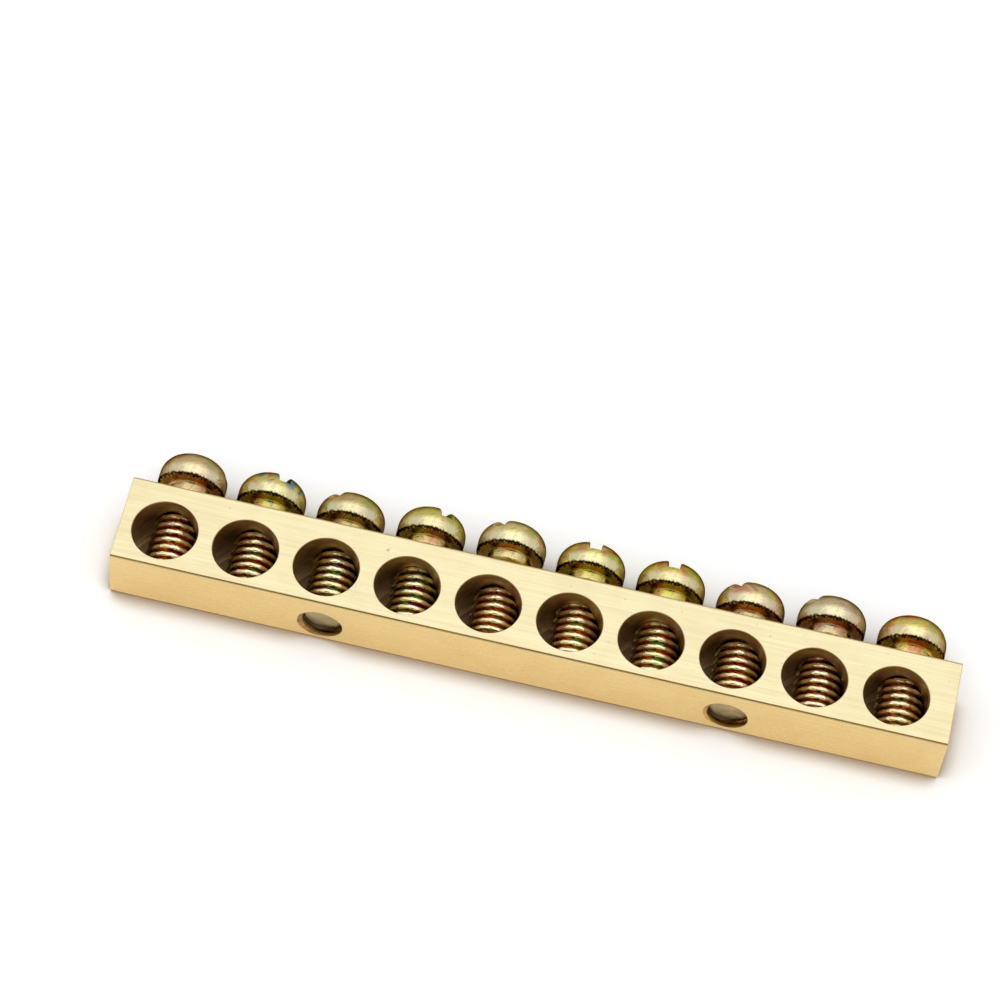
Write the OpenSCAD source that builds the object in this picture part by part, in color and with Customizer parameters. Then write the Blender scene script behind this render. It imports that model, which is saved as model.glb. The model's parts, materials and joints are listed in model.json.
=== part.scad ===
// Earth terminal bar. A drawn brass bar has a row of round wire ways drilled down
// through it. A slotted M4 screw enters each way from the screw face and clamps the
// wire. Two of the screw holes run right through and are mounting threads in the
// opposite face.
//
// X runs along the bar, +Y points out of the screw face, +Z up along the wire ways.
// The origin is the middle of the bar's base face. Lengths are in millimetres.

/* [Bar] */
// Number of wire ways, each with its own screw
ways = 10; // [3:1:14]
// Distance from one wire way to the next
way_pitch = 6.5; // [6:0.1:9]
// Metal from the left end to the centre of the first way
left_margin = 3.6; // [3:0.1:8]
// Metal from the centre of the last way to the right end
right_margin = 4.6; // [4:0.1:9]
// Depth of the bar, from the mounting face to the screw face
bar_depth = 7.5; // [7:0.1:9]
// Height of the bar, the length of a wire way
bar_height = 5.5; // [5:0.1:9]
// Radius drawn onto the four long edges
edge_radius = 0.2; // [0.05:0.05:0.5]

/* [Wire ways] */
// Diameter of a wire way
wire_d = 5.2; // [4.7:0.1:5.6]
// Mounting face to the axes of the wire ways
wire_inset = 3.3; // [3.2:0.1:4.2]

/* [Screw holes] */
// Major diameter of the clamping threads
thread_d = 4; // [3.5:0.1:4.2]
// Base face to the axes of the screws
screw_height = 2.2; // [2.2:0.1:3]
// Sideways step from a wire way's axis to its screw's axis
screw_offset = 0.55; // [0:0.05:0.7]
// Metal between the floor of a screw hole and the mounting face
hole_floor = 0.6; // [0.5:0.1:1]
// Radial clearance between a screw's crests and its hole
thread_clearance = 0.05; // [0.02:0.01:0.1]

/* [Mounting threads] */
// Way whose screw hole carries the left mounting thread
left_mount_way = 3; // [1:1:5]
// Ways from the left mounting thread to the right one
mount_span = 5; // [1:1:5]
// Tapping drill of the mounting threads
tap_drill_d = 3.3; // [2.5:0.1:3.5]

/* [Screw shank] */
// Length of the shank under the head
shank_length = 8.1; // [6:0.1:8.1]
// Rise from one thread groove to the next
thread_pitch = 0.7; // [0.5:0.05:1]
// Depth of a thread groove
thread_depth = 0.42; // [0.2:0.02:0.5]
// Chamfer at the tip
tip_chamfer = 0.4; // [0.1:0.05:0.6]
// Diameter of the plain neck under the head
neck_d = 3.3; // [3:0.1:3.8]
// Length of the plain neck
neck_length = 0.9; // [0.3:0.1:1.5]

/* [Screw head] */
// Diameter of the head
head_d = 5.5; // [4.5:0.1:5.9]
// Height of the head from its bearing face to the crown
head_height = 2.9; // [2.4:0.1:3.5]
// Height of the straight side under the dome
head_side = 1; // [0.4:0.1:1.1]
// Radius of the round at the lower edge of the head
rim_round = 0.25; // [0.05:0.05:0.3]
// Radius of the round between the side and the crown
head_round = 1.7; // [1.2:0.1:1.8]
// Least rise of the crown above the round at the side
crown_rise = 0.2; // [0.1:0.05:0.4]
// Width of the driver slot
slot_width = 1; // [0.6:0.1:1.6]
// Depth of the driver slot under the crown
slot_depth = 1.4; // [0.6:0.1:2]

/* [Screws as left] */
// Gap from the screw face to the heads, before each screw's own difference
head_gap = 1.6; // [1.5:0.1:2.4]
// Least gap from the tips to the floors of their holes, before the same difference
tip_gap = 0.4; // [0.4:0.1:1]

/* [Hidden] */
$fn = 96;
cut = 0.1;

// How much further out than the others each screw was left, and the turn of its
// slot from upright.
gap_changes = [0, -0.1, -0.3, 0.05, 0.4, 0.1, 0, -0.3, 0.15, 0];
slot_turns = [84, 50, -37, 44, -29, 0, -2, -35, -52, 78];

// A shank that is too long for head_gap holds its head further out.
stand_off = max(head_gap, hole_floor + tip_gap + shank_length - bar_depth);

bar_length = left_margin + (ways - 1) * way_pitch + right_margin;
mount_face = -bar_depth / 2;
screw_face = bar_depth / 2;
wire_y = mount_face + wire_inset;
mount_ways = [left_mount_way, left_mount_way + mount_span];

thread_r = thread_d / 2;
crest_r = thread_r - thread_clearance;
groove_r = crest_r - thread_depth;
neck_r = neck_d / 2;
head_r = head_d / 2;

// The dome is a crown arc that runs on smoothly into the round at the side. The
// crown radius follows from the heights and the round, and a low dome has a smaller
// round.
dome_height = head_height - head_side;
round_r = min(head_round, dome_height - crown_rise);
round_x = head_r - round_r;
crown_r = (round_x ^ 2 + dome_height ^ 2 - round_r ^ 2) / (2 * (dome_height - round_r));
crown_x = crown_r * round_x / (crown_r - round_r);

// A thread groove: a flat floor between two flanks, with a narrow crest left between
// neighbouring grooves.
groove_floor = thread_pitch / 4;
groove_flank = thread_pitch * 5 / 16;
thread_turns = floor((shank_length - neck_length - tip_chamfer) / thread_pitch);

function way_x(way) = left_margin - bar_length / 2 + (way - 1) * way_pitch;
function screw_x(way) = way_x(way) + screw_offset;
function own(list, way) = list[(way - 1) % len(list)];
function screw_node(way) = str("terminal_screw_", way < 10 ? "0" : "", way);

// The drawn section of the bar: X is the bar's depth and Y its height.
module bar_section() {
    inner = [bar_depth - 2 * edge_radius, bar_height - 2 * edge_radius];
    translate([-inner[0] / 2, 0]) square([inner[0], bar_height]);
    translate([-bar_depth / 2, edge_radius]) square([bar_depth, inner[1]]);
    for (side = [-1, 1], level = [edge_radius, bar_height - edge_radius])
        translate([side * inner[0] / 2, level]) circle(edge_radius);
}

module wire_way(way) {
    translate([way_x(way), wire_y, -cut]) cylinder(h = bar_height + 2 * cut, d = wire_d);
}

// The tapped hole from the screw face, across the wire way and into the far wall.
module screw_hole(way) {
    translate([screw_x(way), mount_face + hole_floor, screw_height])
        rotate([-90, 0, 0]) cylinder(h = bar_depth - hole_floor + cut, r = thread_r);
}

module mounting_hole(way) {
    translate([screw_x(way), mount_face - cut, screw_height])
        rotate([-90, 0, 0]) cylinder(h = hole_floor + 2 * cut, d = tap_drill_d);
}

module brass_bar() {
    color("burlywood") difference() {
        translate([-bar_length / 2, 0, 0]) rotate([90, 0, 90])
            linear_extrude(bar_length) bar_section();
        for (way = [1 : ways]) {
            wire_way(way);
            screw_hole(way);
        }
        for (way = mount_ways) mounting_hole(way);
    }
}

// Half the outline of the shank, up from its tip. It ends inside the head.
module shank_outline() {
    tip = -shank_length;
    first_groove = tip + tip_chamfer;
    thread_end = first_groove + thread_turns * thread_pitch;
    grooves = [
        for (turn = [0 : thread_turns - 1])
            let (start = first_groove + turn * thread_pitch)
                each [
                    [crest_r, start],
                    [groove_r, start + groove_flank],
                    [groove_r, start + groove_flank + groove_floor],
                    [crest_r, start + 2 * groove_flank + groove_floor]
                ]
    ];
    polygon(concat(
        [[0, tip], [crest_r - tip_chamfer, tip]],
        grooves,
        [[crest_r, thread_end], [neck_r, -neck_length], [neck_r, head_side / 2], [0, head_side / 2]]
    ));
}

// Half the outline of the head, up from its bearing face.
module head_outline() {
    intersection() {
        union() {
            square([head_r - rim_round, head_side]);
            translate([0, rim_round]) square([head_r, head_side - rim_round]);
            translate([head_r - rim_round, rim_round]) circle(rim_round);
            square([crown_x, head_height]);
            translate([round_x, head_side]) circle(round_r);
        }
        translate([0, head_height - crown_r]) circle(crown_r);
        square([head_r, head_height]);
    }
}

// A screw along Z, with its bearing face at Z = 0 and its slot along Y.
module slotted_screw() {
    difference() {
        union() {
            rotate_extrude() shank_outline();
            rotate_extrude() head_outline();
        }
        translate([-slot_width / 2, -head_d, head_height - slot_depth])
            cube([slot_width, 2 * head_d, slot_depth + cut]);
    }
}

module terminal_screw(way) {
    bearing = screw_face + stand_off + own(gap_changes, way);
    color("darkkhaki") translate([screw_x(way), bearing, screw_height])
        rotate([-90, 0, 0]) rotate([0, 0, own(slot_turns, way)]) slotted_screw();
}

brass_bar();
for (way = [1 : ways])
    terminal_screw(way);
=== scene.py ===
"""The looks of an earth terminal bar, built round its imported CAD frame.

A drawn brass bar has a row of drilled wire ways. A slotted, yellow passivated clamping
screw enters each way from the back, and two of the screw holes run through to the front
as mounting threads. The classes hold their sizes in millimetres. Every mesh is made in
metres, in the CAD frame, with its object at the origin.
"""

import json
import logging
import math
from dataclasses import dataclass
from enum import Enum
from typing import Iterable, Sequence

import bmesh
import bpy
from mathutils import Matrix, Vector, noise


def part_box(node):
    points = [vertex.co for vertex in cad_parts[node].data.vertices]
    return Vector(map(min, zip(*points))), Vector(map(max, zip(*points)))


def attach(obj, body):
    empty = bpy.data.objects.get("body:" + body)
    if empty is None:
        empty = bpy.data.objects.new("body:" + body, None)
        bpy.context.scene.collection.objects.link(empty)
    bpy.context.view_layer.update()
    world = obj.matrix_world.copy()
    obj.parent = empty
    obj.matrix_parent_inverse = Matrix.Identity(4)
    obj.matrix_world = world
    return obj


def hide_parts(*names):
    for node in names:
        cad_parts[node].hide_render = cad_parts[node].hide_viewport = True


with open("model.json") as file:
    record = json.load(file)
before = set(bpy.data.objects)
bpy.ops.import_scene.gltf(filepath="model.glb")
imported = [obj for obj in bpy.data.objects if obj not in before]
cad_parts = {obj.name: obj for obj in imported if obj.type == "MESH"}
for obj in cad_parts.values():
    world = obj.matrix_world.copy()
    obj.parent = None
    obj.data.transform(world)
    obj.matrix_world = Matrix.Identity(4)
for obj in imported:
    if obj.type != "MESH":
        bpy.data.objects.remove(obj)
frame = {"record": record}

MM = 0.001
TURN = 2 * math.pi
# Two places that are nearer than this are the same, in metres and in millimetres.
SAME = 1e-7
SAME_MM = 1e-4
# Turns what was built up along Z so that it points out of the screw face, along Y.
OUTWARD = Matrix.Rotation(-math.pi / 2, 4, "X")
LOG = logging.getLogger("terminal_bar")

Outline = list[tuple[float, float]]

# Settings that many nodes share: a mix of two colours, and a range with soft ends.
COLOURS = {"data_type": "RGBA"}
EASED = {"interpolation_type": "SMOOTHSTEP"}


class Surface(Enum):
    """The finishes of the bar's faces, in the order of its material slots."""

    LINISHED = 0
    DRAWN = 1
    DRILLED = 2
    TAPPED = 3


class Tint(Enum):
    """What a screw's yellow film leans to.

    Each holds the main colour, a cool and a warm flash, and the thread roots and their flash.
    """

    UMBER = ("#D2B684", "#B4B270", "#CC9878", "#A04A2C", "#D08A40")
    SEA = ("#D2C868", "#6490A8", "#C88A58", "#8A8A3C", "#B0542E")
    MOSS = ("#CAB47A", "#A8AE62", "#C08C5C", "#90A040", "#9A6A78")
    OLIVE = ("#D2C270", "#AEB864", "#C88E68", "#A03A40", "#90A848")
    STRAW = ("#DCCA8C", "#BABC62", "#CC9C70", "#B08A3C", "#C8742E")
    LIME = ("#D6CA6A", "#A6B85C", "#C88E5C", "#A0A03A", "#D08030")
    GOLD = ("#D8C664", "#AEBC5C", "#C88E50", "#88A850", "#D07A34")
    ROSE = ("#D4BC8E", "#C2C268", "#C87E60", "#B04A38", "#C09040")
    TAN = ("#CCB690", "#B8B480", "#C88A6E", "#B87838", "#A86A40")
    AMBER = ("#DEC66C", "#BCBC74", "#CC825E", "#A88440", "#C88A48")


def linear(colour: str) -> tuple[float, float, float, float]:
    """Turns an sRGB hex colour to linear.

    Args:
        colour: Six hex digits after a hash.

    Returns:
        Red, green and blue in linear light, and an alpha of 1.
    """
    parts = [int(colour[i : i + 2], 16) / 255 for i in (1, 3, 5)]
    light = [p / 12.92 if p <= 0.04045 else ((p + 0.055) / 1.055) ** 2.4 for p in parts]
    return (*light, 1.0)


def add_node(
    tree: bpy.types.NodeTree, kind: str, sockets: dict | None = None, **settings
) -> bpy.types.Node:
    """Adds a node with its settings and its links.

    Args:
        tree: The node tree to add to.
        kind: The node's type name.
        sockets: Input names or numbers, each with a value or with an output to link.
        **settings: The node's own properties.

    Returns:
        The new node.
    """
    node = tree.nodes.new(kind)
    for name, value in settings.items():
        setattr(node, name, value)
    for name, value in (sockets or {}).items():
        if isinstance(value, bpy.types.NodeSocket):
            tree.links.new(value, node.inputs[name])
        else:
            node.inputs[name].default_value = value
    return node


def new_material(name: str) -> tuple[bpy.types.Material, bpy.types.NodeTree]:
    """Makes an empty node material.

    Args:
        name: The material's name.

    Returns:
        The material and its node tree.
    """
    material = bpy.data.materials.new(name)
    material.use_nodes = True
    material.node_tree.nodes.clear()
    return material, material.node_tree


def object_place(
    tree: bpy.types.NodeTree, centre: Vector, periods_mm: Sequence[float]
) -> bpy.types.NodeSocket:
    """Object coordinates about a centre, counted in pattern periods.

    Args:
        tree: The material's node tree.
        centre: The pattern's centre, in metres.
        periods_mm: How long one period of the pattern is along X, Y and Z.

    Returns:
        The output that holds the coordinates.
    """
    coordinates = add_node(tree, "ShaderNodeTexCoord")
    centred = add_node(
        tree, "ShaderNodeMapping",
        {"Vector": coordinates.outputs["Object"], "Location": -centre},
    )
    scale = Vector([1 / (period * MM) for period in periods_mm])
    counted = add_node(
        tree, "ShaderNodeMapping",
        {"Vector": centred.outputs["Vector"], "Scale": scale},
    )
    return counted.outputs["Vector"]


@dataclass(frozen=True)
class BrassFinish:
    """Free-cutting brass, CuZn39Pb3, as one kind of working leaves it.

    Drawing, linishing, drilling and tapping each leave their own streaks. The alloy shows
    as a warm yellow with soft mottling, and its lead as fine dark specks. The real specks
    are a hundredth of a millimetre, too fine to show, so they are drawn coarser.
    """

    name: str
    colour: str
    dark: str
    roughness: float
    streaks_mm: tuple[float, float, float]
    streak_tone: float
    streak_depth_mm: float
    mottle_tone: float = 0.35
    mottle_mm: float = 3.2
    speck_mm: float = 0.42
    speck_tone: float = 0.5
    speck_colour: str = "#7A6238"
    roughness_spread: tuple[float, float] = (-0.05, 0.07)

    def make(self) -> bpy.types.Material:
        """Builds the material.

        Returns:
            The brass, with its tool marks, mottling and specks.
        """
        material, tree = new_material(self.name)
        origin = Vector((0, 0, 0))
        streaks, mottle, specks = (
            add_node(
                tree, "ShaderNodeTexNoise",
                {"Vector": object_place(tree, origin, periods), "Scale": 1.0,
                 "Detail": detail, "Distortion": stir},
            ).outputs["Fac"]
            for periods, detail, stir in (
                (self.streaks_mm, 3.0, 0.0),
                ([self.mottle_mm] * 3, 4.0, 0.6),
                ([self.speck_mm] * 3, 2.0, 0.0),
            )
        )
        tone = linear(self.colour)
        # Each layer begins at the pattern's first value and has its full share at the second.
        for pattern, begins, full, share, colour in (
            (mottle, 0.35, 0.75, self.mottle_tone, self.dark),
            (streaks, 0.45, 0.80, self.streak_tone, self.dark),
            (specks, 0.70, 0.78, self.speck_tone, self.speck_colour),
        ):
            amount = add_node(
                tree, "ShaderNodeMapRange",
                {"Value": pattern, "From Min": begins, "From Max": full, "To Max": share}, **EASED,
            )
            tone = add_node(
                tree, "ShaderNodeMix", {0: amount.outputs["Result"], 6: tone, 7: linear(colour)}, **COLOURS
            ).outputs[2]
        smoothest, roughest = (self.roughness + change for change in self.roughness_spread)
        rough = add_node(
            tree, "ShaderNodeMapRange",
            {"Value": streaks, "From Min": 0.3, "From Max": 0.7,
             "To Min": smoothest, "To Max": roughest}, **EASED,
        )
        bump = add_node(
            tree, "ShaderNodeBump",
            {"Strength": 1.0, "Distance": self.streak_depth_mm * MM, "Height": streaks},
        )
        shader = add_node(
            tree, "ShaderNodeBsdfPrincipled",
            {"Base Color": tone, "Metallic": 1.0, "Roughness": rough.outputs["Result"],
             "Normal": bump.outputs["Normal"]},
        )
        add_node(tree, "ShaderNodeOutputMaterial", {"Surface": shader.outputs["BSDF"]})
        return material


@dataclass(frozen=True)
class YellowZinc:
    """Rolled steel with bright zinc plate and a yellow chromate film.

    The film is about as thick as a wave of light is long, so it shows patches of olive,
    straw, rose and blue. Handling rubs it pale on the thread's crests, and it stays deep in
    the roots. A pale band round the head's side is a painted highlight. The real grain of
    the plate is too fine to show, so it is drawn at 0.3 mm.

    The mesh's float attributes say where the film differs: crest is 1 on the thread's
    crests and 0 in its roots, and 0.6 on the bearing face, whose darker tone is painted
    shade; head is 1 on the head; side is 1 on the band round the head's side where a
    highlight is painted; rim is 1 on the head's lower edge, where a band of shade is
    painted; and tip is 1 on the cut end.
    """

    name: str
    tint: Tint
    centre: Vector
    roughness: float = 0.13
    grain_rougher: float = 0.16
    cut_rougher: float = 0.35
    film_mm: float = 2.2
    along_mm: tuple[float, float, float] = (1.4, 0.9, 1.4)
    grain_mm: float = 0.30
    pit_mm: float = 0.2
    relief_mm: float = 0.035
    # The dark band round the head's lower edge is painted shade.
    rim_shade_share: float = 0.9
    rim_shade_range: tuple[float, float] = (1.03, 1.36)
    crest_colours: tuple[str, str] = ("#F6EFC8", "#EADCA8")
    # The pale band round the head's side is a painted highlight.
    highlight_band_colour: str = "#FFF8D2"
    grain_colour: str = "#5E5228"
    cut_colour: str = "#C8B48C"
    rim_shade_colour: str = "#34200E"
    grazing_colour: str = "#5E4620"

    def film(
        self, tree: bpy.types.NodeTree, patterns: dict[str, bpy.types.NodeSocket]
    ) -> bpy.types.NodeSocket:
        """Builds the film's colour.

        Args:
            tree: The material's node tree.
            patterns: The noises and the mesh's attributes, by name.

        Returns:
            The film's colour.
        """
        main, cool, warm, root, flash = (linear(colour) for colour in self.tint.value)
        thread = add_node(
            tree, "ShaderNodeMapRange",
            {"Value": patterns["along"], "From Min": 0.40, "From Max": 0.58}, **EASED,
        )
        roots, crests = (
            add_node(
                tree, "ShaderNodeMix", {0: thread.outputs["Result"], 6: first, 7: second}, **COLOURS
            ).outputs[2]
            for first, second in ((root, flash), [linear(colour) for colour in self.crest_colours])
        )
        tone = main
        # Each layer's share goes from the third number to the fourth as its pattern goes
        # from the first to the second.
        for name, low, high, start, end, colour in (
            ("slow", 0.47, 0.64, 0.0, 0.9, cool),
            ("other", 0.48, 0.66, 0.0, 0.9, warm),
            ("head", 0.0, 1.0, 1.0, 0.0, crests),
            # The pale band round the head's side is a painted highlight.
            ("side", 0.0, 0.8, 0.0, 0.56, linear(self.highlight_band_colour)),
            ("crest", 0.30, 0.90, 1.0, 0.0, roots),
            ("grain", 0.52, 0.82, 0.0, 0.30, linear(self.grain_colour)),
            ("tip", 0.0, 1.0, 0.0, 1.0, linear(self.cut_colour)),
        ):
            amount = add_node(
                tree, "ShaderNodeMapRange",
                {"Value": patterns[name], "From Min": low, "From Max": high,
                 "To Min": start, "To Max": end}, **EASED,
            )
            tone = add_node(
                tree, "ShaderNodeMix", {0: amount.outputs["Result"], 6: tone, 7: colour}, **COLOURS
            ).outputs[2]
        # A dark band round the head's lower edge, patchy where the pits are, is painted shade.
        begins, full = self.rim_shade_range
        rim_shade = add_node(
            tree, "ShaderNodeMath",
            {0: patterns["rim"], 1: self.rim_shade_share, 2: patterns["pits"]}, operation="MULTIPLY_ADD",
        )
        rim_shade = add_node(
            tree, "ShaderNodeMapRange",
            {"Value": rim_shade.outputs[0], "From Min": begins, "From Max": full}, **EASED,
        )
        return add_node(
            tree, "ShaderNodeMix",
            {0: rim_shade.outputs["Result"], 6: tone, 7: linear(self.rim_shade_colour)}, **COLOURS,
        ).outputs[2]

    def make(self) -> bpy.types.Material:
        """Builds the material.

        Returns:
            The plated steel.
        """
        material, tree = new_material(self.name)
        patterns = {
            name: add_node(tree, "ShaderNodeAttribute", attribute_name=name).outputs["Fac"]
            for name in ("crest", "head", "side", "rim", "tip")
        }
        for name, centre, periods, detail, stir in (
            ("slow", self.centre, [self.film_mm] * 3, 2.0, 1.2),
            ("other", self.centre.zxy, [self.film_mm * 0.8] * 3, 2.0, 0.8),
            ("grain", self.centre, [self.grain_mm] * 3, 3.0, 0.4),
            ("pits", self.centre, [self.pit_mm] * 3, 2.0, 0.0),
            ("along", self.centre, self.along_mm, 1.0, 0.6),
        ):
            place = object_place(tree, centre, periods)
            patterns[name] = add_node(
                tree, "ShaderNodeTexNoise",
                {"Vector": place, "Scale": 1.0, "Detail": detail, "Distortion": stir},
            ).outputs["Fac"]
        rough = add_node(
            tree, "ShaderNodeMapRange",
            {"Value": patterns["grain"], "From Min": 0.35, "From Max": 0.75,
             "To Min": self.roughness, "To Max": self.roughness + self.grain_rougher}, **EASED,
        )
        rougher = add_node(
            tree, "ShaderNodeMath",
            {0: patterns["tip"], 1: self.cut_rougher, 2: rough.outputs["Result"]},
            operation="MULTIPLY_ADD",
        )
        height = add_node(
            tree, "ShaderNodeMath", {0: patterns["pits"], 1: patterns["rim"], 2: patterns["grain"]},
            operation="MULTIPLY_ADD",
        )
        bump = add_node(
            tree, "ShaderNodeBump",
            {"Strength": 1.0, "Distance": self.relief_mm * MM, "Height": height.outputs[0]},
        )
        shader = add_node(
            tree, "ShaderNodeBsdfPrincipled",
            {"Base Color": self.film(tree, patterns), "Metallic": 1.0, "Roughness": rougher.outputs[0],
             "Specular Tint": linear(self.grazing_colour), "Normal": bump.outputs["Normal"]},
        )
        add_node(tree, "ShaderNodeOutputMaterial", {"Surface": shader.outputs["BSDF"]})
        return material


def arc(centre: tuple[float, float], radius: float, start: float, end: float, steps: int) -> Outline:
    """Points along an arc.

    Args:
        centre: The arc's centre.
        radius: The arc's radius.
        start: The angle of the first point, in degrees.
        end: The angle of the last point, in degrees.
        steps: How many steps there are between them.

    Returns:
        The points, both ends included.
    """
    angles = [math.radians(start + (end - start) * i / steps) for i in range(steps + 1)]
    return [(centre[0] + radius * math.cos(a), centre[1] + radius * math.sin(a)) for a in angles]


def turn_outline(mesh: bmesh.types.BMesh, outline: Outline, segments: int) -> None:
    """Turns half an outline about Z into a closed solid.

    Args:
        mesh: The mesh to add to.
        outline: Radius and height of each point, in millimetres, from pole to pole.
        segments: How many faces go round.
    """
    verts = [mesh.verts.new((radius * MM, 0, height * MM)) for radius, height in outline]
    edges = [mesh.edges.new(pair) for pair in zip(verts, verts[1:])]
    bmesh.ops.spin(
        mesh, geom=verts + edges, cent=(0, 0, 0), axis=(0, 0, 1),
        angle=TURN, steps=segments, use_merge=True,
    )
    bmesh.ops.remove_doubles(mesh, verts=mesh.verts[:], dist=SAME)
    bmesh.ops.recalc_face_normals(mesh, faces=mesh.faces[:])


def finished(
    mesh: bmesh.types.BMesh, name: str, materials: Iterable[bpy.types.Material]
) -> bpy.types.Object:
    """Makes an object of a mesh.

    Args:
        mesh: The mesh, which is freed.
        name: The object's name.
        materials: What goes into the object's material slots.

    Returns:
        The object, at the origin.
    """
    data = bpy.data.meshes.new(name)
    mesh.to_mesh(data)
    mesh.free()
    for material in materials:
        data.materials.append(material)
    made = bpy.data.objects.new(name, data)
    bpy.context.scene.collection.objects.link(made)
    return made


def cut(target: bpy.types.Object, tool: bpy.types.Object) -> None:
    """Cuts one object out of another and deletes the tool.

    Args:
        target: The object that is cut.
        tool: The closed shape that is taken out of it.
    """
    modifier = target.modifiers.new("cut", "BOOLEAN")
    modifier.operation = "DIFFERENCE"
    modifier.solver = "MANIFOLD"
    modifier.object = tool
    bpy.context.view_layer.update()
    shown = target.evaluated_get(bpy.context.evaluated_depsgraph_get())
    result = bpy.data.meshes.new_from_object(shown)
    target.modifiers.remove(modifier)
    old, target.data = target.data, result
    result.name = target.name
    bpy.data.meshes.remove(old)
    bpy.data.objects.remove(tool)


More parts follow.
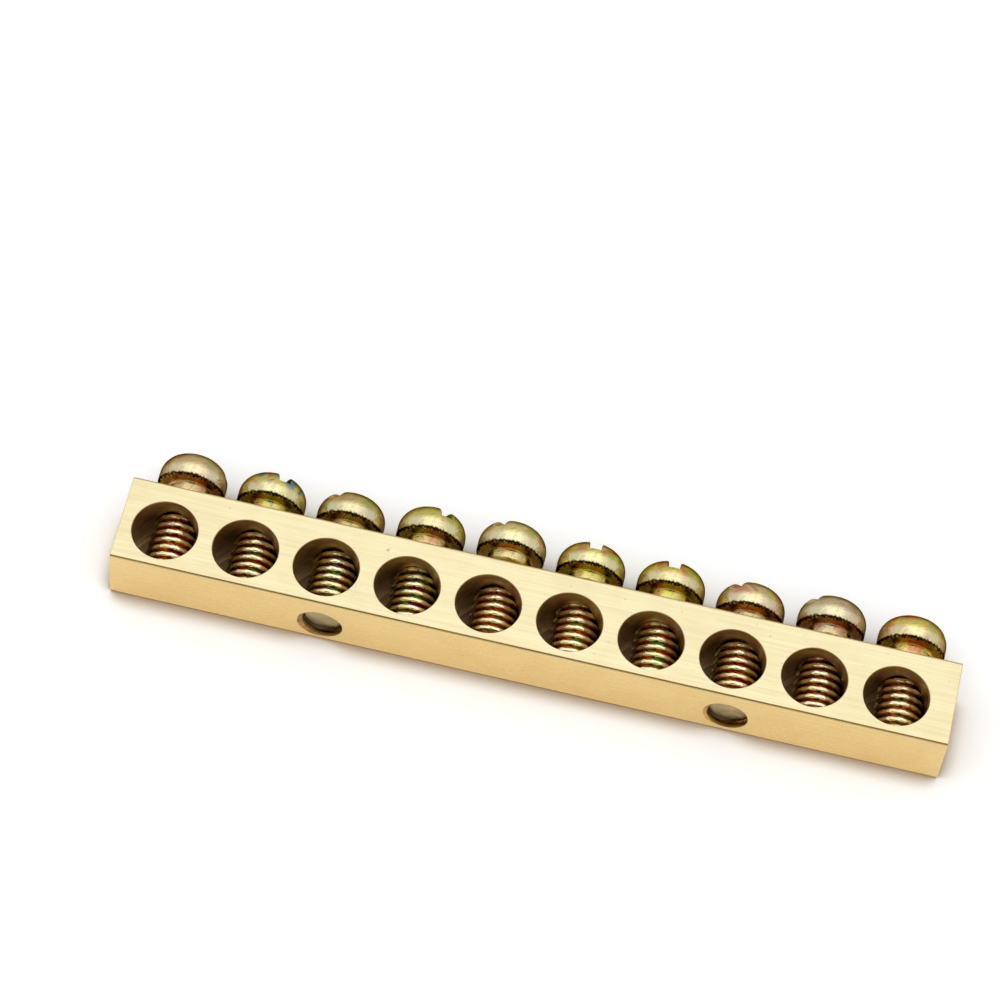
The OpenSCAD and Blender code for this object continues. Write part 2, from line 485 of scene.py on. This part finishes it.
@dataclass
class TerminalBar:
    """The drawn brass bar, with its wire ways, screw holes and mounting threads.

    Its corners and its holes' places are in metres. Each mounting thread starts some
    pitches before the mounting face, and the tools reach a little past the metal.
    """

    low: Vector
    high: Vector
    ways: list[Vector]
    screws: list[Vector]
    mounts: list[Vector]
    way_radius: float
    tap_radius: float
    # Edges and holes.
    edge_radius: float = 0.2
    end_break: float = 0.06
    rim_break: float = 0.05
    hole_floor: float = 0.6
    past: float = 0.5
    # The tapped thread. Its groove's two widths are shares of its pitch.
    thread_radius: float = 2.0
    thread_pitch: float = 0.7
    thread_starts: tuple[float, ...] = (1.50, 1.60)
    thread_turns: int = 3
    turn_steps: int = 64
    groove_mouth: float = 0.80
    groove_bottom: float = 0.12
    groove_overlap: float = 0.08
    # How finely the mesh is made.
    round_segments: int = 96
    edge_segments: int = 4
    end_segments: int = 2
    sharp_angle: float = 28.0

    @property
    def height(self) -> float:
        """The bar's height, in millimetres."""
        return (self.high.z - self.low.z) / MM

    @property
    def depth(self) -> float:
        """The bar's depth, in millimetres."""
        return (self.high.y - self.low.y) / MM

    def blank(self, materials: Sequence[bpy.types.Material]) -> bpy.types.Object:
        """Builds the bar before it is drilled.

        Args:
            materials: The bar's finishes.

        Returns:
            The blank.
        """
        mesh = bmesh.new()
        size = self.high - self.low
        placed = Matrix.Translation((self.high + self.low) / 2) @ Matrix.Diagonal((*size, 1))
        bmesh.ops.create_cube(mesh, size=1.0, matrix=placed)
        long_edges = [e for e in mesh.edges if abs(e.verts[0].co.x - e.verts[1].co.x) > size.x / 2]
        self.soften(mesh, long_edges, self.edge_radius, self.edge_segments)
        ends = [e for e in mesh.edges if all(abs(abs(v.co.x) - size.x / 2) < SAME for v in e.verts)]
        self.soften(mesh, ends, self.end_break, self.end_segments)
        # Level faces take the paler copy of the brass, painted for the light on the top.
        for face in mesh.faces:
            level = abs(face.normal.z) > 0.99
            face.material_index = (Surface.LINISHED if level else Surface.DRAWN).value
        return finished(mesh, "terminal_bar", materials)

    @staticmethod
    def soften(
        mesh: bmesh.types.BMesh, edges: list[bmesh.types.BMEdge], radius: float, segments: int
    ) -> None:
        """Rounds some edges.

        Args:
            mesh: The mesh.
            edges: The edges to round.
            radius: The round's radius, in millimetres.
            segments: How many faces make the round.
        """
        bmesh.ops.bevel(
            mesh, geom=edges, offset=radius * MM, segments=segments,
            profile=0.5, affect="EDGES", material=-1,
        )

    def way_tool(self) -> bmesh.types.BMesh:
        """Builds the drill that makes every wire way and breaks its two rims.

        Returns:
            One closed shape for each way.
        """
        radius, rim, top = self.way_radius, self.rim_break, self.height
        wide = radius + rim + self.past
        outline = [
            (0, -self.past), (wide, -self.past), (radius, rim),
            (radius, top - rim), (wide, top + self.past), (0, top + self.past),
        ]
        tools = bmesh.new()
        for place in self.ways:
            self.add_turned(tools, outline, Matrix.Translation((place.x, place.y, self.low.z)))
        return tools

    def screw_tool(self) -> bmesh.types.BMesh:
        """Builds the tools that make the screw holes and break their rims.

        Returns:
            One closed shape for each screw hole.
        """
        radius, rim = self.thread_radius, 2 * self.rim_break
        reach = self.depth - self.hole_floor
        wide = radius + rim + self.past
        outline = [
            (0, 0), (radius, 0), (radius, reach - rim),
            (wide, reach + self.past), (0, reach + self.past),
        ]
        tools = bmesh.new()
        for place in self.screws:
            start = Vector((place.x, self.low.y + self.hole_floor * MM, place.z))
            self.add_turned(tools, outline, Matrix.Translation(start) @ OUTWARD)
        return tools

    def tap_tool(self) -> bmesh.types.BMesh:
        """Builds the drills of the mounting holes.

        Returns:
            One closed shape for each mounting hole.
        """
        outline = [
            (0, -self.past), (self.tap_radius, -self.past),
            (self.tap_radius, self.hole_floor + self.past), (0, self.hole_floor + self.past),
        ]
        tools = bmesh.new()
        for place in self.mounts:
            start = Vector((place.x, self.low.y, place.z))
            self.add_turned(tools, outline, Matrix.Translation(start) @ OUTWARD)
        return tools

    def thread_tool(self) -> bmesh.types.BMesh:
        """Builds the helical groove that the tap leaves in each mounting hole.

        Returns:
            One closed helical ridge for each mounting hole.
        """
        wall, bottom = self.tap_radius - self.groove_overlap, self.thread_radius
        pitch, steps, turns = self.thread_pitch, self.turn_steps, self.thread_turns
        mouth_half, bottom_half = self.groove_mouth / 2 * pitch, self.groove_bottom / 2 * pitch
        corners = [(wall, -mouth_half), (bottom, -bottom_half), (bottom, bottom_half), (wall, mouth_half)]
        tools = bmesh.new()
        for place, first in zip(self.mounts, self.thread_starts):
            ridge = bmesh.new()
            verts = [ridge.verts.new((radius * MM, 0, rise * MM)) for radius, rise in corners]
            edges = [ridge.edges.new((verts[i], verts[(i + 1) % 4])) for i in range(4)]
            start_cap = ridge.faces.new(verts)
            result = bmesh.ops.spin(
                ridge, geom=verts + edges, cent=(0, 0, 0), axis=(0, 0, 1),
                dvec=(0, 0, pitch * MM / steps), angle=TURN * turns, steps=steps * turns,
            )
            last = [item for item in result["geom_last"] if isinstance(item, bmesh.types.BMVert)]
            bmesh.ops.contextual_create(ridge, geom=last)
            start_cap.normal_update()
            bmesh.ops.recalc_face_normals(ridge, faces=ridge.faces[:])
            start = Vector((place.x, self.low.y - first * pitch * MM, place.z))
            bmesh.ops.transform(ridge, matrix=Matrix.Translation(start) @ OUTWARD, verts=ridge.verts[:])
            self.join(tools, ridge, Surface.TAPPED)
        return tools

    def add_turned(self, tools: bmesh.types.BMesh, outline: Outline, placed: Matrix) -> None:
        """Adds one turned tool to the others.

        Args:
            tools: The mesh that gathers the tools.
            outline: Half the tool's outline, in millimetres.
            placed: Where the tool goes.
        """
        tool = bmesh.new()
        turn_outline(tool, outline, self.round_segments)
        bmesh.ops.transform(tool, matrix=placed, verts=tool.verts[:])
        self.join(tools, tool)

    @staticmethod
    def join(
        tools: bmesh.types.BMesh, tool: bmesh.types.BMesh, surface: Surface = Surface.DRILLED
    ) -> None:
        """Adds a mesh to another and frees it.

        Args:
            tools: The mesh that grows.
            tool: The mesh that is added.
            surface: What the tool leaves on the walls that it cuts.
        """
        for face in tool.faces:
            face.material_index = surface.value
        data = bpy.data.meshes.new("tool")
        tool.to_mesh(data)
        tool.free()
        tools.from_mesh(data)
        bpy.data.meshes.remove(data)

    def build(self, materials: Sequence[bpy.types.Material]) -> bpy.types.Object:
        """Builds the drilled and tapped bar.

        Args:
            materials: The bar's finishes.

        Returns:
            The bar, riding on its body.
        """
        bar = self.blank(materials)
        for tool in (self.way_tool(), self.screw_tool(), self.tap_tool(), self.thread_tool()):
            cut(bar, finished(tool, "tool", materials))
        for face in bar.data.polygons:
            face.use_smooth = True
        bar.data.set_sharp_from_angle(angle=math.radians(self.sharp_angle))
        weighted = bar.modifiers.new("even_faces", "WEIGHTED_NORMAL")
        weighted.keep_sharp = True
        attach(bar, "bar")
        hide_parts("brass_bar")
        return bar


@dataclass
class ClampingScrew:
    """A slotted clamping screw, headed and slit, with a rolled M4 thread.

    It is built up along Z, with its head's bearing face at height 0, and heights are
    measured from there. The noises are shifted by the screw's own place times a number,
    so that no two screws are alike.
    """

    number: int
    low: Vector
    high: Vector
    slot_turn: float
    tint: Tint
    # The shank and its rolled thread.
    shank_length: float = 8.1
    thread_pitch: float = 0.7
    crest_radius: float = 1.95
    thread_depth: float = 0.42
    crest_width: float = 0.24
    root_width: float = 0.14
    root_softness: float = 0.45
    tip_chamfer: float = 0.4
    run_out: float = 0.45
    neck_radius: float = 1.56
    neck_flare: float = 0.14
    neck_length: float = 0.9
    neck_fillet: float = 0.22
    # The head and its slot.
    head_side: float = 1.0
    head_round: float = 1.7
    rim_round: float = 0.25
    slot_width: float = 1.0
    slot_depth: float = 1.4
    slot_edge: float = 0.12
    # What making and handling left: burrs on the cut tip and dents round the head's lower
    # edge. Painted light: shade on the bearing face, a band of shade round the head's lower
    # edge, and a highlight band round its side. An inset is counted in from the side.
    burr: float = 0.05
    burrs_per_m: float = 1400.0
    burr_shift: float = 300.0
    neck_fade: float = 0.5
    bearing_shade: float = 0.6
    rim_height: float = 0.10
    rim_reach: float = 0.42
    rim_inset: float = 0.7
    rim_fade: float = 0.5
    highlight_band_height: float = 0.6
    highlight_band_reach: float = 0.65
    highlight_band_inset: float = 0.35
    dents_per_m: float = 2200.0
    dent_shift: float = 500.0
    dent_share: float = 0.012
    dent_height: float = 0.035
    # How finely the mesh is made.
    ring_step: float = 0.05
    segments: int = 96
    sharp_angle: float = 45.0

    @property
    def head_radius(self) -> float:
        """The head's radius, in millimetres."""
        return (self.high.x - self.low.x) / 2 / MM

    @property
    def head_height(self) -> float:
        """The head's height, in millimetres."""
        return (self.high.y - self.low.y) / MM - self.shank_length

    @property
    def axis_place(self) -> Vector:
        """The middle of the head's bearing face."""
        return Vector((
            (self.low.x + self.high.x) / 2,
            self.high.y - self.head_height * MM,
            (self.low.z + self.high.z) / 2,
        ))

    def outline(self) -> Outline:
        """Half the screw's outline, up from its tip, with its bearing face at height 0.

        Returns:
            The points of the outline, from pole to pole.
        """
        quarters = (0.25, 0.5, 0.75)
        tip = -self.shank_length
        rings = round((self.shank_length - self.neck_length) / self.ring_step)
        step = (self.shank_length - self.neck_length) / rings
        # Across the tip and up the shank.
        points = [(share * self.crest_radius, tip) for share in (0, 0.2, 0.4, 0.6, 0.75, 0.9)]
        points += [(self.crest_radius, tip + i * step) for i in range(rings + 1)]
        # Up the neck, round its fillet and out across the bearing face.
        fillet, top = self.neck_fillet, self.neck_radius + self.neck_flare
        plain = self.neck_length - fillet
        points += [
            (self.neck_radius + self.neck_flare * share, -self.neck_length + share * plain)
            for share in quarters
        ]
        points += arc((top + fillet, -fillet), fillet, 180, 90, 5)
        inner, outer = top + fillet, self.head_radius - self.rim_round
        points += [(inner + (outer - inner) * share, 0) for share in (0.35, 0.7)]
        # Round the head's lower edge and up its side.
        points += arc((outer, self.rim_round), self.rim_round, -90, 0, 7)
        upright = self.head_side - self.rim_round
        points += [(self.head_radius, self.rim_round + upright * share) for share in quarters]
        return points + self.dome()

    def dome(self) -> Outline:
        """The head's top: the round above its side and the crown.

        Returns:
            The points from the side up to the pole.
        """
        rise = self.head_height - self.head_side
        round_x = self.head_radius - self.head_round
        crown = (round_x**2 + rise**2 - self.head_round**2) / (2 * (rise - self.head_round))
        crown_z = self.head_height - crown
        meet = math.degrees(math.atan2(self.head_side - crown_z, round_x))
        shoulder = arc((round_x, self.head_side), self.head_round, 0, meet, 16)
        return shoulder + arc((0, crown_z), crown, meet, 90, 6)[1:]

    def thread_radius(self, angle: float, height: float) -> tuple[float, float]:
        """The rolled thread's surface at one place on the shank.

        Args:
            angle: The angle round the shank.
            height: The height over the bearing face, in millimetres.

        Returns:
            The radius there, in millimetres, and how near the crest it is, from 0 to 1.
        """
        phase = (height / self.thread_pitch - angle / TURN) % 1.0
        away = abs(phase - 0.5) * self.thread_pitch
        flank = self.thread_pitch / 2 - (self.crest_width + self.root_width) / 2
        rise = min(max((self.thread_pitch / 2 - self.root_width / 2 - away) / flank, 0.0), 1.0)
        eased = rise * rise * (3 - 2 * rise)
        rise += self.root_softness * (eased - rise)
        full = self.crest_radius - self.thread_depth * (1 - rise)
        fade = min(max((-self.neck_length - height) / self.run_out, 0.0), 1.0)
        radius = self.neck_radius + (full - self.neck_radius) * fade
        chamfer = self.crest_radius - self.tip_chamfer + height + self.shank_length
        return min(radius, chamfer), 1 + fade * (rise - 1)

    def roll_thread(self, mesh: bmesh.types.BMesh) -> None:
        """Rolls the thread into the blank and roughens its cut end.

        Args:
            mesh: The turned blank.
        """
        crest = mesh.verts.layers.float.new("crest")
        tip = mesh.verts.layers.float.new("tip")
        for vert in mesh.verts:
            height = vert.co.z / MM
            vert[crest] = 1.0
            if height > -self.neck_length - SAME_MM:
                continue
            angle, radius = math.atan2(vert.co.y, vert.co.x), vert.co.xy.length / MM
            rolled, vert[crest] = self.thread_radius(angle, height)
            if height < -self.shank_length + SAME_MM:
                share = radius / self.crest_radius
                rolled *= share
                vert[tip] = 1.0 if share < 0.95 else 0.5
                uneven = noise.noise(vert.co * self.burrs_per_m + self.axis_place * self.burr_shift)
                vert.co.z += self.burr * MM * uneven
            if radius > SAME_MM:
                vert.co.xy *= rolled / radius

    def dent_head_and_mark_light(self, mesh: bmesh.types.BMesh) -> None:
        """Makes the head's lower edge slightly uneven, as upsetting leaves it.

        It also marks where the finish paints light: shade on the bearing face and round the
        lower edge, and a highlight band round the side.

        Args:
            mesh: The screw's mesh.
        """
        crest = mesh.verts.layers.float["crest"]
        head = mesh.verts.layers.float.new("head")
        side = mesh.verts.layers.float.new("side")
        rim = mesh.verts.layers.float.new("rim")
        for vert in mesh.verts:
            height, radius = vert.co.z / MM, vert.co.xy.length / MM
            inset = self.head_radius - radius
            vert[head] = min(max(1 + (height + self.neck_length / 2) / self.neck_fade, 0.0), 1.0)
            # The bearing face under the head is marked to take part of the roots' darker colour, as
            # painted shade.
            if abs(height) < SAME_MM and self.neck_radius + self.neck_flare < radius < self.head_radius:
                vert[crest] = self.bearing_shade
            if height < -SAME_MM or inset > self.rim_inset:
                continue
            # The lower edge is marked for a band of painted shade, and dented.
            near = 1 - min(abs(height - self.rim_height) / self.rim_reach, 1.0)
            near *= min((self.rim_inset - inset) / self.rim_fade, 1.0)
            vert[rim] = near
            # The band round the side is marked for a painted highlight.
            if inset < self.highlight_band_inset:
                vert[side] = max(1 - abs(height - self.highlight_band_height) / self.highlight_band_reach, 0.0)
            uneven = noise.noise(vert.co * self.dents_per_m + self.axis_place * self.dent_shift)
            vert.co.xy *= 1 - self.dent_share * near * (0.5 + 0.5 * uneven)
            vert.co.z += self.dent_height * MM * near * uneven

    def cut_slot(self, mesh: bmesh.types.BMesh) -> None:
        """Slits the head along Y and eases the slot's edges.

        Args:
            mesh: The screw's mesh.
        """
        floor = (self.head_height - self.slot_depth) * MM
        half, edge = self.slot_width / 2 * MM, self.slot_edge * MM
        # The planes cut the head at the slot's floor, at its walls and across its eased edges.
        planes = [((0, 0, floor), (0, 0, 1))]
        for side in (-1, 1):
            planes += [((side * (half + edge * share), 0, 0), (1, 0, 0)) for share in (0, 0.3, 0.65, 1)]
        for place, normal in planes:
            over = [f for f in mesh.faces if max(v.co.z for v in f.verts) > floor - SAME]
            corners, edges = {v for f in over for v in f.verts}, {e for f in over for e in f.edges}
            near = [*corners, *edges, *over]
            bmesh.ops.bisect_plane(mesh, geom=near, dist=SAME / 10, plane_co=place, plane_no=normal)
        strip = [
            f for f in mesh.faces
            if abs(f.calc_center_median().x) < half and f.calc_center_median().z > floor
        ]
        bmesh.ops.delete(mesh, geom=strip, context="FACES")
        for vert in mesh.verts:
            beyond = (abs(vert.co.x) - half) / edge
            if vert.co.z > floor + edge and beyond < 1:
                vert.co.z -= edge * (1 - math.sqrt(max(1 - (1 - max(beyond, 0)) ** 2, 0.0)))
        lips = [e for e in mesh.edges if e.is_boundary and max(v.co.z for v in e.verts) > floor + SAME]
        walls = bmesh.ops.extrude_edge_only(mesh, edges=lips)["geom"]
        for item in walls:
            if isinstance(item, bmesh.types.BMVert):
                item.co.z = floor
        bmesh.ops.remove_doubles(mesh, verts=mesh.verts[:], dist=2 * SAME)
        open_edges = [e for e in mesh.edges if e.is_boundary]
        bmesh.ops.triangle_fill(mesh, edges=open_edges, use_beauty=True)
        bmesh.ops.recalc_face_normals(mesh, faces=mesh.faces[:])

    def build(self) -> bpy.types.Object:
        """Builds the screw.

        Returns:
            The screw, riding on its body.
        """
        mesh = bmesh.new()
        turn_outline(mesh, self.outline(), self.segments)
        self.roll_thread(mesh)
        self.dent_head_and_mark_light(mesh)
        self.cut_slot(mesh)
        placed = Matrix.Translation(self.axis_place) @ OUTWARD
        placed @= Matrix.Rotation(math.radians(self.slot_turn), 4, "Z")
        bmesh.ops.transform(mesh, matrix=placed, verts=mesh.verts[:])
        label = f"{self.number:02d}"
        zinc = YellowZinc(f"yellow_zinc_{label}", self.tint, self.axis_place)
        screw = finished(mesh, f"clamping_screw_{label}", [zinc.make()])
        for face in screw.data.polygons:
            face.use_smooth = True
        screw.data.set_sharp_from_angle(angle=math.radians(self.sharp_angle))
        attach(screw, f"screw_{label}")
        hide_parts(f"terminal_screw_{label}")
        return screw


@dataclass
class Studio:
    """The table, the light and the camera.

    Bare metal shows mostly what it mirrors, so mirrored rays see a table and a room of
    their own. Levels are brightnesses, where 1 is white.
    """

    front_edge: Vector
    rim_edge: Vector
    # The table, as the eye and as the metal sees it.
    table_size: float = 900.0
    table_colour: str = "#FAF9F8"
    page_level: float = 1.25
    # Behind the bar the metal mirrors a duller page, which is painted shade.
    behind_mm: float = 9.0
    behind_shade_colour: str = "#D8CBB4"
    contact_mm: float = 2.4
    contact_range: tuple[float, float] = (0.35, 0.9)
    contact_colour: str = "#B09470"
    # The camera.
    camera_place: tuple[float, float, float] = (13.41, -164.58, 292.36)
    camera_aim: tuple[float, float, float] = (-5.08, 10.65, 2.75)
    camera_roll: float = 7.51
    camera_lens: float = 152.8
    camera_range: tuple[float, float] = (0.01, 10.0)
    # The lamp, the sky, and the room that the metal mirrors. A range is where a part of
    # the room begins and where it is full, along the way that the ray goes.
    lamp_way: tuple[float, float, float] = (-0.10, -0.25, 0.96)
    lamp_distance: float = 480.0
    lamp_size: tuple[float, float] = (760.0, 560.0)
    lamp_level: float = 0.8
    sky_level: float = 0.62
    room_levels: tuple[float, float] = (0.72, 1.42)
    ceiling_range: tuple[float, float] = (0.5, 0.95)
    front_level: float = 0.40
    front_range: tuple[float, float] = (0.1, -0.25)
    shade_way: tuple[float, float, float] = (0.0, -0.36, 0.93)
    shade_range: tuple[float, float] = (0.90, 0.965)
    shade_colour: str = "#1E1B18"

    def table(self) -> bpy.types.Object:
        """Builds the table, tilted so that the bar's front edge and the lowest head rest on it.

        Returns:
            The table.
        """
        tilt = math.atan2(self.rim_edge.z - self.front_edge.z, self.rim_edge.y - self.front_edge.y)
        mesh = bmesh.new()
        bmesh.ops.create_grid(mesh, x_segments=1, y_segments=1, size=self.table_size / 2 * MM)
        middle = Vector((0, self.front_edge.y, self.front_edge.z))
        placed = Matrix.Translation(middle) @ Matrix.Rotation(tilt, 4, "X")
        bmesh.ops.transform(mesh, matrix=placed, verts=mesh.verts[:])
        made = finished(mesh, "table", [self.table_finish()])
        return made

    def table_finish(self) -> bpy.types.Material:
        """Makes matt white paper.

        Fibres scatter the light evenly, so it has no shine. The eye sees a bright page with
        a soft tan shadow right under the bar. Mirrored rays see the page in front of the
        bar and, behind it, a duller page that is painted shade, and all other rays see the
        paper's own colour.

        Returns:
            The material.
        """
        material, tree = new_material("matt_white_paper")
        page = (self.page_level, self.page_level, self.page_level, 1.0)
        path = add_node(tree, "ShaderNodeLightPath")
        mirrored = add_node(
            tree, "ShaderNodeMath",
            {0: path.outputs["Is Glossy Ray"], 1: path.outputs["Is Transmission Ray"]},
            operation="MAXIMUM",
        )
        near = add_node(
            tree, "ShaderNodeAmbientOcclusion", {"Distance": self.contact_mm * MM}, samples=8
        )
        closed, opened = self.contact_range
        open_sky = add_node(
            tree, "ShaderNodeMapRange",
            {"Value": near.outputs["AO"], "From Min": closed, "From Max": opened}, **EASED,
        )
        coordinates = add_node(tree, "ShaderNodeTexCoord")
        place = add_node(tree, "ShaderNodeSeparateXYZ", {"Vector": coordinates.outputs["Object"]})
        behind = add_node(
            tree, "ShaderNodeMapRange",
            {"Value": place.outputs["Y"], "From Min": 0.0, "From Max": self.behind_mm * MM}, **EASED,
        )
        reflected = add_node(
            tree, "ShaderNodeMix",
            {0: behind.outputs["Result"], 6: page, 7: linear(self.behind_shade_colour)}, **COLOURS,
        )
        tone = add_node(
            tree, "ShaderNodeMix",
            {0: mirrored.outputs[0], 6: linear(self.table_colour), 7: reflected.outputs[2]}, **COLOURS,
        )
        shaded = add_node(
            tree, "ShaderNodeMix",
            {0: open_sky.outputs["Result"], 6: linear(self.contact_colour), 7: page}, **COLOURS,
        )
        tone = add_node(
            tree, "ShaderNodeMix",
            {0: path.outputs["Is Camera Ray"], 6: tone.outputs[2], 7: shaded.outputs[2]}, **COLOURS,
        )
        shader = add_node(tree, "ShaderNodeBsdfDiffuse", {"Color": tone.outputs[2]})
        add_node(tree, "ShaderNodeOutputMaterial", {"Surface": shader.outputs["BSDF"]})
        return material

    def sky(self) -> None:
        """Lights the scene from all round.

        The eye sees plain white. Mirrored rays see a room that is brighter overhead and
        dim in front, with a small dark patch above the front, which gives the metal its
        contrast. All other rays see one soft level.
        """
        world = bpy.data.worlds.new("studio")
        bpy.context.scene.world = world
        world.use_nodes = True
        tree = world.node_tree
        tree.nodes.clear()
        way = add_node(tree, "ShaderNodeTexCoord").outputs["Generated"]
        axes = add_node(tree, "ShaderNodeSeparateXYZ", {"Vector": way})
        front_begins, front_full = self.front_range
        front = add_node(
            tree, "ShaderNodeMapRange",
            {"Value": axes.outputs["Y"], "From Min": front_begins, "From Max": front_full}, **EASED,
        )
        toward = add_node(
            tree, "ShaderNodeVectorMath", {0: way, 1: Vector(self.shade_way).normalized()},
            operation="DOT_PRODUCT",
        )
        shade_begins, shade_full = self.shade_range
        shade = add_node(
            tree, "ShaderNodeMapRange",
            {"Value": toward.outputs["Value"], "From Min": shade_begins, "From Max": shade_full},
            **EASED,
        )
        ceiling_begins, ceiling_full = self.ceiling_range
        low, high = self.room_levels
        room = add_node(
            tree, "ShaderNodeMapRange",
            {"Value": axes.outputs["Z"], "From Min": ceiling_begins, "From Max": ceiling_full,
             "To Min": low, "To Max": high}, **EASED,
        )
        dim = (self.front_level, self.front_level, self.front_level, 1.0)
        metal = add_node(
            tree, "ShaderNodeMix",
            {0: front.outputs["Result"], 6: room.outputs["Result"], 7: dim}, **COLOURS,
        )
        metal = add_node(
            tree, "ShaderNodeMix",
            {0: shade.outputs["Result"], 6: metal.outputs[2], 7: linear(self.shade_colour)}, **COLOURS,
        )
        path = add_node(tree, "ShaderNodeLightPath")
        mirrored = add_node(
            tree, "ShaderNodeMath",
            {0: path.outputs["Is Glossy Ray"], 1: path.outputs["Is Transmission Ray"]},
            operation="MAXIMUM",
        )
        # A mirrored ray that came off the paper first sees the plain light too.
        direct = add_node(
            tree, "ShaderNodeMath", {0: mirrored.outputs[0], 1: path.outputs["Diffuse Depth"]},
            operation="SUBTRACT", use_clamp=True,
        )
        plain = (self.sky_level, self.sky_level, self.sky_level, 1.0)
        tone = add_node(
            tree, "ShaderNodeMix", {0: direct.outputs[0], 6: plain, 7: metal.outputs[2]}, **COLOURS
        )
        white = (1.0, 1.0, 1.0, 1.0)
        tone = add_node(
            tree, "ShaderNodeMix",
            {0: path.outputs["Is Camera Ray"], 6: tone.outputs[2], 7: white}, **COLOURS,
        )
        light = add_node(tree, "ShaderNodeBackground", {"Color": tone.outputs[2], "Strength": 1.0})
        add_node(tree, "ShaderNodeOutputWorld", {"Surface": light.outputs["Background"]})

    def lamp(self) -> bpy.types.Object:
        """Hangs one large soft lamp above the bar, which the metal doesn't mirror.

        Returns:
            The lamp.
        """
        data = bpy.data.lights.new("softbox", "AREA")
        data.shape = "RECTANGLE"
        data.size, data.size_y = (side * MM for side in self.lamp_size)
        data.energy = self.lamp_level * math.pi * data.size * data.size_y
        lamp = bpy.data.objects.new("softbox", data)
        way = Vector(self.lamp_way).normalized()
        lamp.location = way * self.lamp_distance * MM
        lamp.rotation_euler = way.to_track_quat("Z", "Y").to_euler()
        lamp.visible_glossy = False
        bpy.context.scene.collection.objects.link(lamp)
        return lamp

    def camera(self) -> bpy.types.Object:
        """Sets the camera up.

        Returns:
            The camera.
        """
        data = bpy.data.cameras.new("camera")
        data.lens = self.camera_lens
        data.clip_start, data.clip_end = self.camera_range
        camera = bpy.data.objects.new("camera", data)
        place, aim = Vector(self.camera_place) * MM, Vector(self.camera_aim) * MM
        turned = (place - aim).to_track_quat("Z", "Y").to_matrix().to_4x4()
        rolled = turned @ Matrix.Rotation(math.radians(self.camera_roll), 4, "Z")
        camera.matrix_world = Matrix.Translation(place) @ rolled
        bpy.context.scene.collection.objects.link(camera)
        bpy.context.scene.camera = camera
        return camera

    def build(self) -> None:
        """Builds the table, the light and the camera."""
        self.table()
        self.sky()
        self.lamp()
        self.camera()
        bpy.context.scene.view_settings.view_transform = "Standard"


BRASS = (
    # Top and base: a paler, whiter copy of the brass, painted for the brighter light on the
    # top, with straight hairlines along the bar and a soft sheen. The real hairlines are
    # about 0.05 mm apart, and are drawn at 0.16 mm.
    BrassFinish(
        "pale_lit_brass", "#E6DAB0", "#DDCB9C", roughness=0.3,
        streaks_mm=(9.0, 0.16, 0.16), streak_tone=0.2, streak_depth_mm=0.001,
    ),
    # Sides, as they came through the die: smoother and more golden, with faint long lines.
    # The sawn ends have the same finish.
    BrassFinish(
        "drawn_brass", "#E5C88A", "#D9B876", roughness=0.27,
        streaks_mm=(12.0, 0.3, 0.2), streak_tone=0.12, streak_depth_mm=0.001,
    ),
    # Walls of the ways and holes, as the drill left them: duller and browner, with rings
    # round each way. The real rings are finer than the 0.14 mm at which they show.
    BrassFinish(
        "drilled_brass", "#E2BE82", "#74481E", roughness=0.38,
        streaks_mm=(2.5, 2.5, 0.14), streak_tone=0.6, streak_depth_mm=0.006,
    ),
    # Grooves of the mounting threads, as the tap left them: deep gold, darkened in large
    # patches.
    BrassFinish(
        "tapped_brass", "#D2A868", "#4A2E14", roughness=0.36,
        streaks_mm=(0.7, 0.12, 0.7), streak_tone=0.8, streak_depth_mm=0.006,
        mottle_tone=0.8, mottle_mm=1.4,
    ),
)

# Each screw's slot was left at its own turn from upright, in degrees.
SLOT_TURNS = (84, 20, -38, 24, -32, 0, -3, -37, -48, 78)
TINTS = tuple(Tint)


def mount_places(start: str) -> list[dict]:
    """The record's mounts whose names start alike, in order.

    Args:
        start: How their names start.

    Returns:
        The mounts.
    """
    mounts = [m for m in frame["record"]["mounts"] if m["name"].startswith(start)]
    return sorted(mounts, key=lambda m: m["name"])


def main() -> None:
    """Builds the bar, its screws and the studio, and reports each piece."""
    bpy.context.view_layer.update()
    boxes = [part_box(f"terminal_screw_{i + 1:02d}") for i in range(len(TINTS))]
    screws = [
        ClampingScrew(i + 1, low, high, turn, tint)
        for i, ((low, high), turn, tint) in enumerate(zip(boxes, SLOT_TURNS, TINTS))
    ]
    low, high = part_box("brass_bar")
    ways, threads = mount_places("wire_way"), mount_places("mounting_thread")
    bar = TerminalBar(
        low, high,
        ways=[Vector(m["pos_m"]) for m in ways],
        screws=[screw.axis_place for screw in screws],
        mounts=[Vector(m["pos_m"]) for m in threads],
        way_radius=ways[0]["dims"]["r_mm"],
        tap_radius=threads[0]["dims"]["r_mm"],
    )
    made = [bar.build([finish.make() for finish in BRASS])]
    made += [screw.build() for screw in screws]
    for piece in made:
        LOG.info("%s: %d faces", piece.name, len(piece.data.polygons))
    nearest = min(screws, key=lambda screw: screw.axis_place.y)
    rim_edge = nearest.axis_place - Vector((0, 0, nearest.head_radius * MM))
    Studio(front_edge=low, rim_edge=rim_edge).build()
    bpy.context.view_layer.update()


if __name__ == "__main__":
    logging.basicConfig(level=logging.INFO)
    main()
